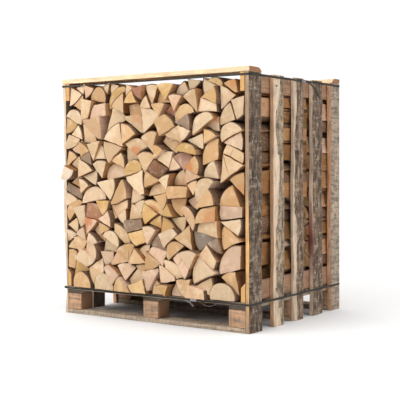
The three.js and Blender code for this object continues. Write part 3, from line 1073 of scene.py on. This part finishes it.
class FIREWOOD_OT_fences(Operator):
    """Finishes the ten upright slabs and the four rails behind them"""
    bl_idname = "firewood.fences"
    bl_label = "Fences"

    def execute(self, context):
        look = settings().timber
        grey, fresh, orange, cream, dark, brown, moss, painted_shade = (np.array(c) for c in (
            look.weathered, look.fresh, look.orange, look.cream, look.bark, look.bark_brown, look.bark_moss,
            look.painted_shade))
        # The kinds of slab: the colours of the low side and the outer face, the share of the wane, the rest.
        slabs = (
            (fresh * 0.62, fresh, 0.4, {"skin": dark, "flame": (look.amber, 0.30, 0.26)}),
            (fresh * (1.0, 0.9, 0.8), cream * 1.12, 0.5, {"skin": moss, "pale": 0.46}),
            (cream, cream, 1.0, {"skin": brown, "pale": 0.24}),
            (cream, fresh, 0.7, {"skin": brown * 0.75, "pale": 0.06, "flame": (look.stain, 0.34, 0.17)}),
            (orange, grey, 0.2, {"weather": 0.9}),
        )
        for offset, fence in ((0, "right"), (2, "left")):
            for i in range(len(slabs)):
                side, face, wane, wear = slabs[(i + offset) % len(slabs)]
                # The inner faces, which face the logs, take the painted shade colour, doubled, for the shade
                # they lie in.
                tones = {
                    "outer": face, "inner": painted_shade * 2, "low side": side, "high side": fresh, "end": fresh}
                make_board(
                    f"{fence}_slab_{i + 1}", "slab", "zyx", tones, 11 + i + 7 * offset,
                    wane=look.wane * wane, **{"weather": 0.3, **wear})
            for k, part in enumerate(("top_rail", "bottom_rail")):
                tones = plain_tones(look.rail, look.amber)
                make_board(f"{fence}_{part}", "rail", "yzx", tones, 31 + k + offset)
        return {"FINISHED"}


class FIREWOOD_OT_pallet(Operator):
    """Finishes the pallet's boards, stringers and blocks"""
    bl_idname = "firewood.pallet"
    bl_label = "Pallet"

    def execute(self, context):
        look = settings().timber
        boards, blocks = plain_tones(look.pallet, look.block), plain_tones(look.block, look.block)
        weathered = boards["outer"]
        # Deck boards and stringers are painted with the shade that falls under the logs on all faces but
        # their long sides, which keep the plain pallet-board colour.
        deck = {**plain_tones(look.painted_shade, look.painted_shade), "low side": weathered, "high side": weathered}
        kinds = {
            "bottom_board": ("pallet_board", "xyz", boards, 0.75, 0.8),
            "deck_board": ("pallet_board", "xyz", deck, 0.1, 0.15),
            "stringer": ("pallet_board", "yxz", deck, 0.1, 0.15),
            "block": ("pallet_block", "xyz", blocks, 0.5, 0.8),
        }
        for seed, node in enumerate(sorted(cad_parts), 50):
            for start, (slot, grain, tones, weather, edge_wear) in kinds.items():
                if node.startswith(start):
                    make_board(node, slot, grain, tones, seed, weather, edge_wear)
        return {"FINISHED"}


class FIREWOOD_OT_battens(Operator):
    """Finishes the two battens that close the top"""
    bl_idname = "firewood.battens"
    bl_label = "Top battens"

    def execute(self, context):
        look = settings().timber
        tones = plain_tones(look.batten, look.batten_end)
        for seed, node in enumerate(("front_top_batten", "rear_top_batten"), 80):
            make_board(node, "batten", "xyz", tones, seed, weather=0.03)
        return {"FINISHED"}


# ---------------------------------------------------------------- straps, seals and nails

def strap_band(name, node, height, look, finish, twist=0.0):
    """A flat band round the crate: an upright ring with turned corners, given its thickness.

    Where it spans the open front freely it turns its face up by as much as the twist.
    """
    low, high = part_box("bottom_strap")
    clear_selection()
    bpy.ops.mesh.primitive_cube_add(size=1, location=(0, 0, height))
    band = bpy.context.object
    band.scale = (high.x - low.x, high.y - low.y, look.width)
    named(settle(band), name)
    with editing(band):
        pick(band, "faces", lambda face: abs(face.normal.z) > 0.9)
        bpy.ops.mesh.delete(type="FACE")
        pick(band, "edges", lambda edge: abs(edge.verts[0].co.z - edge.verts[1].co.z) > 1e-4)
        bpy.ops.mesh.bevel(offset=look.corner, segments=5)
        for axis in (0, 1):
            cut_across(band, axis, 0.05)
    points = points_of(band.data)
    at_front = np.abs(points[:, 1] - low.y) < 1e-4
    free = np.clip(1 - np.abs(points[:, 0] / (high.x - 0.03)) ** 6, 0, 1) * at_front
    turn = twist * free * (0.72 - 0.28 * np.sin(points[:, 0] * 5))
    rise = points[:, 2] - height
    points[:, 1] += np.sin(turn) * (rise + look.width / 2)
    points[:, 2] = height + np.cos(turn) * rise + 0.0007 * wander(points * (9, 9, 0) + (3, 5, 0), 4)
    set_points(band.data, points)
    apply_modifier(band, "SOLIDIFY", thickness=look.thickness, offset=-1.0)
    band.data.materials.append(finish)
    smooth(band)
    return ride(band, "strap", node)


STUB = 0.002  # half the length of the piece that a loose strap starts from


def loose_strap(name, start, ahead, across, axis, steps, look, finish):
    """A loose stretch of strap: a short edge pulled out step by step.

    ahead is its first direction and across its full width, both as vectors. Each step is how far it turns
    about the axis, how far it then goes and how far it moves outward.
    """
    start, ahead, across = Vector(start), Vector(ahead), Vector(across)
    out = Vector((1, 0, 0)) if axis == "X" else Vector((0, -1, 0))
    clear_selection()
    bpy.ops.mesh.primitive_plane_add(size=1, location=start)
    strap = named(bpy.context.object, name)
    sides = Matrix((ahead * 2 * STUB, across, ahead.cross(across).normalized())).transposed()
    strap.matrix_world = Matrix.Translation(start) @ sides.to_4x4()
    settle(strap)
    with editing(strap, "EDGE"):
        pick(strap, "edges", lambda edge: all((v.co - start).dot(ahead) > STUB / 2 for v in edge.verts))
        place = start + ahead * STUB
        for turn, reach, aside in steps:
            ahead = Matrix.Rotation(turn, 3, axis) @ ahead
            bpy.ops.transform.rotate(value=-turn, orient_axis=axis, center_override=place)
            move = ahead * reach + out * aside
            bpy.ops.mesh.extrude_region_move(TRANSFORM_OT_translate={"value": move})
            place = place + move
    apply_modifier(strap, "SOLIDIFY", thickness=look.thickness, offset=0.0)
    strap.data.materials.append(finish)
    smooth(strap)
    return ride(strap, "strap")


def crimped_seal(name, node, finish):
    """A steel sleeve folded round the strap, with the two bites of the crimping tool."""
    low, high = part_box(node)
    middle, size = (low + high) / 2, high - low
    long_axis = 0 if size.x > size.y else 1
    clear_selection()
    bpy.ops.mesh.primitive_cube_add(size=1, location=middle)
    seal = bpy.context.object
    seal.scale = size
    named(settle(seal), name)
    with editing(seal):
        cut_across(seal, long_axis, size[long_axis] / 12.5)
        cut_across(seal, 2, size.z / 8.5)
    points = points_of(seal.data)
    u = (points[:, long_axis] - middle[long_axis]) / size[long_axis]
    w = (points[:, 2] - middle.z) / size.z
    bite = np.maximum(0, 1 - (np.abs(np.abs(u) - 0.22) / 0.11) ** 2) * np.clip(np.abs(w) * 2, 0, 1) ** 2
    points[:, 2] -= np.sign(w) * bite * size.z * 0.16
    set_points(seal.data, points)
    apply_modifier(seal, "BEVEL", width=0.0004, segments=2, limit_method="ANGLE")
    seal.data.materials.append(finish)
    smooth(seal)
    return ride(seal, "seal", node)


class FIREWOOD_OT_straps(Operator):
    """Adds the two straps, their free ends and their seals"""
    bl_idname = "firewood.straps"
    bl_label = "Straps"

    def execute(self, context):
        look = settings().straps
        plastic = strap_finish(look)
        steel = steel_finish("seal_steel", look.steel, 0.3)
        top_seal, bottom_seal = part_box("top_strap_seal"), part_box("bottom_strap_seal")
        top, bottom = ((box[0].z + box[1].z) / 2 for box in (top_seal, bottom_seal))
        strap_band("top_strap_band", "top_strap", top, look, plastic, twist=look.twist)
        strap_band("bottom_strap_band", "bottom_strap", bottom, look, plastic)
        crimped_seal("top_seal_crimped", "top_strap_seal", steel)
        crimped_seal("bottom_seal_crimped", "bottom_strap_seal", steel)
        low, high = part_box("bottom_strap")
        width = look.width
        droop = [(-math.radians(7.0 - 0.5 * i), look.tail / 11, 0.0005) for i in range(10)]
        droop.insert(0, (0.0, 0.006, 0.0))
        start = (high.x + 0.0008, top_seal[1].y - 0.004, top)
        loose_strap("top_strap_tail", start, (0, 1, 0), (0, 0, width), "X", droop, look, plastic)
        worn = strap_finish(look, "strap_worn", (0.34, 0.33, 0.31))
        hang = [(math.radians(10 - i), 0.0075, 0.0002) for i in range(6)]
        start = (bottom_seal[0].x - 0.024, low.y - 0.0016, bottom - 0.004)
        loose_strap("bottom_strap_tail", start, (1, 0, 0), (0, 0, width), "Y", hang, look, worn)
        swing = [(math.radians(turn), 0.0092, 0.0) for turn in (32, -6, -8, -10, -8, -8, -10, -8, -6)]
        start = (bottom_seal[1].x + 0.022, low.y - width / 2 + 0.001, low.z - 0.001)
        loose_strap("bottom_strap_slack", start, (1, 0, 0), (0, width, 0), "Y", swing, look, worn)
        return {"FINISHED"}


class FIREWOOD_OT_nails(Operator):
    """Drives the nails that hold slabs, rails and battens"""
    bl_idname = "firewood.nails"
    bl_label = "Nails"

    def execute(self, context):
        steel = steel_finish("nail_steel", (0.16, 0.14, 0.125), 0.9)
        rng = np.random.default_rng(5)
        clear_selection()
        bpy.ops.mesh.primitive_cylinder_add(vertices=14, radius=0.0042, depth=0.0016)
        head = named(settle(context.object), "nail_head")
        with editing(head):
            pick(head, "faces", lambda face: abs(face.normal.z) > 0.9)
            bpy.ops.mesh.inset(thickness=0.0010)
            bpy.ops.transform.resize(value=(1, 1, 0.72), center_override=(0, 0, 0))
        head.data.materials.append(steel)
        for fence, sign in (("right", 1), ("left", -1)):
            rails = [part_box(f"{fence}_{part}") for part in ("top_rail", "bottom_rail")]
            spots = []
            for i in range(5):
                low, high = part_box(f"{fence}_slab_{i + 1}")
                face = high.x if sign > 0 else low.x
                for rail_low, rail_high in rails:
                    for shift in (-0.22, 0.22):
                        y = (low.y + high.y) / 2 + shift * (high.y - low.y) + rng.normal() * 0.003
                        z = (rail_low.z + rail_high.z) / 2 + shift * 0.06 + rng.normal() * 0.004
                        spots.append((face - sign * 0.0010, y, z))
            turn = Matrix.Rotation(sign * math.pi / 2, 4, "Y")
            self.drive(head, f"{fence}_fence_nails", spots, turn)
        for part in ("front", "rear"):
            low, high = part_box(f"{part}_top_batten")
            inset = 0.030 if part == "front" else -0.030
            y = (low.y if part == "front" else high.y) + inset
            spots = [(sign * (high.x - 0.028 + 0.004 * rng.normal()), y + dy, high.z - 0.0010)
                     for sign in (-1, 1) for dy in (-0.012, 0.014)]
            self.drive(head, f"{part}_batten_nails", spots, Matrix.Identity(4))
        bpy.data.objects.remove(head)
        return {"FINISHED"}

    def drive(self, head, name, spots, turn):
        nails = []
        for spot in spots:
            nail = head.copy()
            nail.data = head.data.copy()
            nail.data.transform(Matrix.Translation(spot) @ turn)
            bpy.context.collection.objects.link(nail)
            nails.append(nail)
        ride(joined(nails, name, 40), "seal")


# ---------------------------------------------------------------- stage

class FIREWOOD_OT_stage(Operator):
    """Sets the floor, the lights and the camera"""
    bl_idname = "firewood.stage"
    bl_label = "Stage"

    def execute(self, context):
        look = settings().stage
        scene = context.scene
        clear_selection()
        bpy.ops.mesh.primitive_circle_add(vertices=64, radius=14, fill_type="NGON", location=(0, 0, -0.0005))
        floor = named(settle(context.object), "studio_floor")
        with editing(floor):
            bpy.ops.mesh.inset(thickness=9)
            bpy.ops.mesh.poke()
        floor.data.materials.append(floor_finish(look))
        camera = bpy.data.objects.new("camera", bpy.data.cameras.new("camera"))
        scene.collection.objects.link(camera)
        camera.data.lens, camera.data.sensor_width = look.lens, 36.0
        camera.matrix_world = (
            Matrix.Translation(look.eye) @ Matrix.Rotation(look.turn, 4, "Z")
            @ Matrix.Rotation(math.pi / 2 + look.nod, 4, "X") @ Matrix.Rotation(look.roll, 4, "Z"))
        scene.camera = camera
        scene.world = studio_sky(look)
        self.lamp("key", (-1.4, -4.2, 3.2), 3.2, look.key)
        self.lamp("side", (4.6, -0.6, 2.6), 3.0, look.side)
        scene.view_settings.view_transform = "Standard"
        scene.view_settings.look = "None"
        return {"FINISHED"}

    def lamp(self, name, place, size, power):
        lamp = bpy.data.objects.new(name, bpy.data.lights.new(name, "AREA"))
        lamp.data.size, lamp.data.energy = size, power
        lamp.location = place
        lamp.rotation_mode = "QUATERNION"
        lamp.rotation_quaternion = (Vector(place) - Vector((0, 0, 0.5))).to_track_quat("Z", "Y")
        bpy.context.scene.collection.objects.link(lamp)


class FIREWOOD_PT_panel(Panel):
    """Lists the steps that make the crate"""
    bl_idname = "FIREWOOD_PT_panel"
    bl_label = "Firewood crate"
    bl_space_type = "VIEW_3D"
    bl_region_type = "UI"
    bl_category = "Firewood"

    def draw(self, context):
        for step in STEPS:
            self.layout.operator(step.bl_idname, text=step.bl_label)
        for group in ("billets", "timber", "straps", "stage"):
            box = self.layout.box()
            box.label(text=group.title())
            part = getattr(settings(), group)
            for key in part.__annotations__:
                box.prop(part, key)


STEPS = (
    FIREWOOD_OT_stage, FIREWOOD_OT_stack, FIREWOOD_OT_fences, FIREWOOD_OT_pallet, FIREWOOD_OT_battens,
    FIREWOOD_OT_straps, FIREWOOD_OT_nails,
)
CLASSES = (
    BilletSettings, TimberSettings, StrapSettings, StageSettings, CrateSettings, *STEPS, FIREWOOD_PT_panel,
)


def register():
    for kind in CLASSES:
        bpy.utils.register_class(kind)
    bpy.types.Scene.firewood_crate = PointerProperty(type=CrateSettings)


def unregister():
    del bpy.types.Scene.firewood_crate
    for kind in reversed(CLASSES):
        bpy.utils.unregister_class(kind)


def main():
    register()
    bpy.ops.firewood.stage()
    bpy.ops.firewood.stack()
    bpy.ops.firewood.fences()
    bpy.ops.firewood.pallet()
    bpy.ops.firewood.battens()
    bpy.ops.firewood.straps()
    bpy.ops.firewood.nails()


if __name__ == "__main__":
    main()
